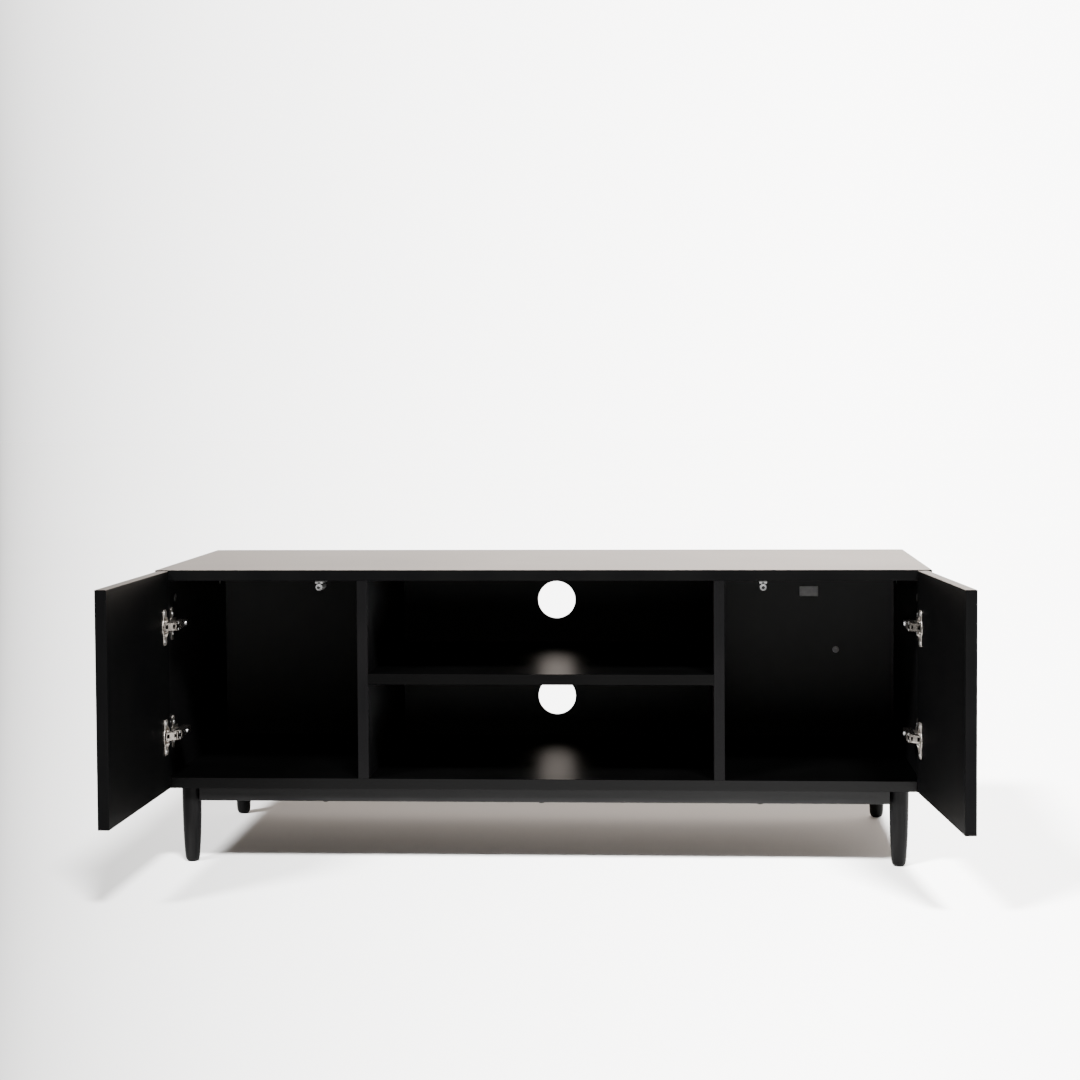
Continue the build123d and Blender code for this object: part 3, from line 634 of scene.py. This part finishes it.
def makeScrew(d, m):
    neck = d["neck"] * m["shank"]
    tip = d["point"] * m["shank"]
    head = m["head"]
    rise = m["rise"]
    screw = lathe(d["sides"], [
        (-m["length"], d["pointEnd"] * neck),
        (tip - m["length"], neck),
        (0.0, neck),
        (0.0, d["rim"] * head),
        ((1 - d["crown"]) * rise, d["rim"] * head),
        ((1 - d["shoulderAt"] * d["crown"]) * rise, d["shoulder"] * head),
        (rise, d["face"] * head),
    ])
    deep = d["slotDepth"] * rise
    long = 2 * d["slotReach"] * head
    wide = d["slotWidth"] * head
    for size in ((long, wide, 2 * deep), (wide, long, 2 * deep)):
        combine(screw, block(size, (0, 0, rise)), "DIFFERENCE")
    return screw


for name, body in screwNodes.items():
    measured = [measureScrew(crossHead, points) for points in solidsOf(nodes[name])]
    first = makeScrew(crossHead, measured[0])
    copies = []
    for m in measured:
        copy = first.copy()
        copy.data = first.data.copy()
        bpy.context.scene.collection.objects.link(copy)
        standAt(copy, Vector(m["seat"]), m["axis"])
        copies.append(copy)
    bpy.data.objects.remove(first)
    screws = joinAll(copies)
    finish = "blackZinc" if name == "rail_screws" else "zinc"
    dress(screws, name + "Crosshead", finish, body, crossHead["smooth"])
    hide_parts(name)
    print(name, len(measured), "screws")


# push latches: a rounded base, a neck and a rimmed barrel, and a plunger with a near-black tip in its
# dimple, painted shade
latchForm = {
    "sides": 48, "round": 0.0011, "lip": 0.0005, "play": 0.0001,
    "baseHeight": 0.0052, "neckWidth": 0.004, "barrelLength": 0.044, "boreDepth": 0.033,
    "notch": (0.0038, 0.012, 0.0052),
    "dimple": 0.0029, "dimpleDepth": 0.005, "dimpleRim": 0.4,
    # the pin's crown: how far back and how far in, in lips
    "pinCrown": [(2.0, 0.0), (0.6, 0.35), (0.0, 1.2)],
    # the near-black tip, painted shade in the dimple: how deep, in sinks, and how wide, in dimples
    "tipSink": 0.0013, "tipFit": 0.97, "tipDome": [(2.2, 0.97), (1.4, 0.86), (1.0, 0.55)],
}


def makeLatch(d, hand):
    low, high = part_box(hand + "_latch_housing")
    tipLow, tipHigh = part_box(hand + "_latch_plunger")
    middle = (low.x + high.x) / 2
    height = (tipLow.z + tipHigh.z) / 2
    bore = (tipHigh.x - tipLow.x) / 2
    barrel = height - low.z
    lip = d["lip"]
    baseLow = high.z - d["baseHeight"]
    housing = block((high.x - low.x, high.y - low.y, d["baseHeight"]),
                    (middle, (low.y + high.y) / 2, high.z - d["baseHeight"] / 2), d["round"])
    neckLow = height + bore + lip
    notch = d["notch"]
    neckLong = d["barrelLength"] - notch[1] / 2 - lip
    neck = block((d["neckWidth"], neckLong, baseLow + lip - neckLow),
                 (middle, low.y + notch[1] / 2 + neckLong / 2, (neckLow + baseLow + lip) / 2))
    combine(housing, block(notch, (middle, low.y, baseLow)), "DIFFERENCE")
    inner = bore + d["play"]
    tube = lathe(d["sides"], [
        (-d["barrelLength"], barrel - lip),
        (lip - d["barrelLength"], barrel),
        (-lip, barrel),
        (0.0, barrel - lip),
        (0.0, inner + lip),
        (-lip, inner),
        (-d["boreDepth"], inner),
    ])
    standAt(tube, (middle, low.y, height), (0, -1, 0))
    applyAll(tube)
    combine(housing, neck, "UNION")
    combine(housing, tube, "UNION")
    dress(housing, hand + "LatchBody", "plastic", "cabinet")
    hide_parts(hand + "_latch_housing")

    dimple = d["dimple"]
    pinEnd = tipLow.y - tipHigh.y
    plunger = lathe(d["sides"], [
        (pinEnd, bore - lip),
        (pinEnd + lip, bore),
        *((-back * lip, bore - inset * lip) for back, inset in d["pinCrown"]),
        (0.0, dimple + d["dimpleRim"] * lip),
        (-d["dimpleRim"] * lip, dimple),
        (-d["dimpleDepth"], dimple),
    ])
    standAt(plunger, (middle, tipLow.y, height), (0, -1, 0))
    dress(plunger, hand + "LatchPin", "plastic", hand + "_plunger")
    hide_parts(hand + "_latch_plunger")

    # a near-black tip deep in the dimple: painted shade
    sink = d["tipSink"]
    tip = lathe(d["sides"], [
        (-d["dimpleDepth"], d["tipFit"] * dimple),
        *((-deep * sink, wide * dimple) for deep, wide in d["tipDome"]),
    ])
    standAt(tip, (middle, tipLow.y, height), (0, -1, 0))
    dress(tip, hand + "ShadeTipPiece", "shadeTipFinish", hand + "_plunger")


for hand in ("left", "right"):
    makeLatch(latchForm, hand)
print("latches made")


# blank label and screw cap on the back panel, in the right compartment
backLabel = {"x": (0.4565, 0.4915), "z": (0.413, 0.432), "thick": 0.0004, "corner": 0.0012, "cornerSteps": 5}
screwCap = {
    "x": 0.524, "z": 0.313, "radius": 0.0062, "rise": 0.0018, "sides": 40,
    # each step's rise, in rises, and how far it draws in
    "steps": [(0.55, 1.0), (0.35, 0.93), (0.10, 0.86), (-0.05, 0.45), (-0.35, 0.9)],
}


def makeLabel(d):
    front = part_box("back_panel")[0].y
    clearSelection()
    middle = (sum(d["x"]) / 2, front - d["thick"] / 2, sum(d["z"]) / 2)
    bpy.ops.mesh.primitive_cube_add(size=1.0, location=middle)
    label = bpy.context.object
    label.scale = (d["x"][1] - d["x"][0], d["thick"], d["z"][1] - d["z"][0])
    bpy.ops.object.transform_apply(location=False, rotation=False, scale=True)
    bpy.ops.object.mode_set(mode="EDIT")
    bpy.ops.mesh.select_all(action="DESELECT")
    bpy.ops.object.mode_set(mode="OBJECT")
    for edge in label.data.edges:
        a, b = (label.data.vertices[i].co for i in edge.vertices)
        edge.select = abs(a.y - b.y) > d["thick"] / 2
    bpy.ops.object.mode_set(mode="EDIT")
    bpy.ops.mesh.bevel(offset=d["corner"], segments=d["cornerSteps"])
    endEdit()
    dress(label, "blankLabel", "label", "cabinet")


def makeCap(d):
    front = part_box("back_panel")[0].y
    clearSelection()
    bpy.ops.mesh.primitive_circle_add(vertices=d["sides"], radius=d["radius"], fill_type="NGON",
                                      location=(d["x"], front, d["z"]), rotation=(math.pi / 2, 0, 0))
    cap = bpy.context.object
    bpy.ops.object.transform_apply(location=True, rotation=True, scale=True)
    middle = Vector((d["x"], front, d["z"]))
    startEdit()
    for rise, shrink in d["steps"]:
        bpy.ops.mesh.extrude_region_move(TRANSFORM_OT_translate={"value": (0, -rise * d["rise"], 0)})
        middle.y -= rise * d["rise"]
        bpy.ops.transform.resize(value=(shrink, 1, shrink), center_override=middle)
    endEdit()
    dress(cap, "screwCap", "label", "cabinet")


makeLabel(backLabel)
makeCap(screwCap)
print("blank label and cap made")
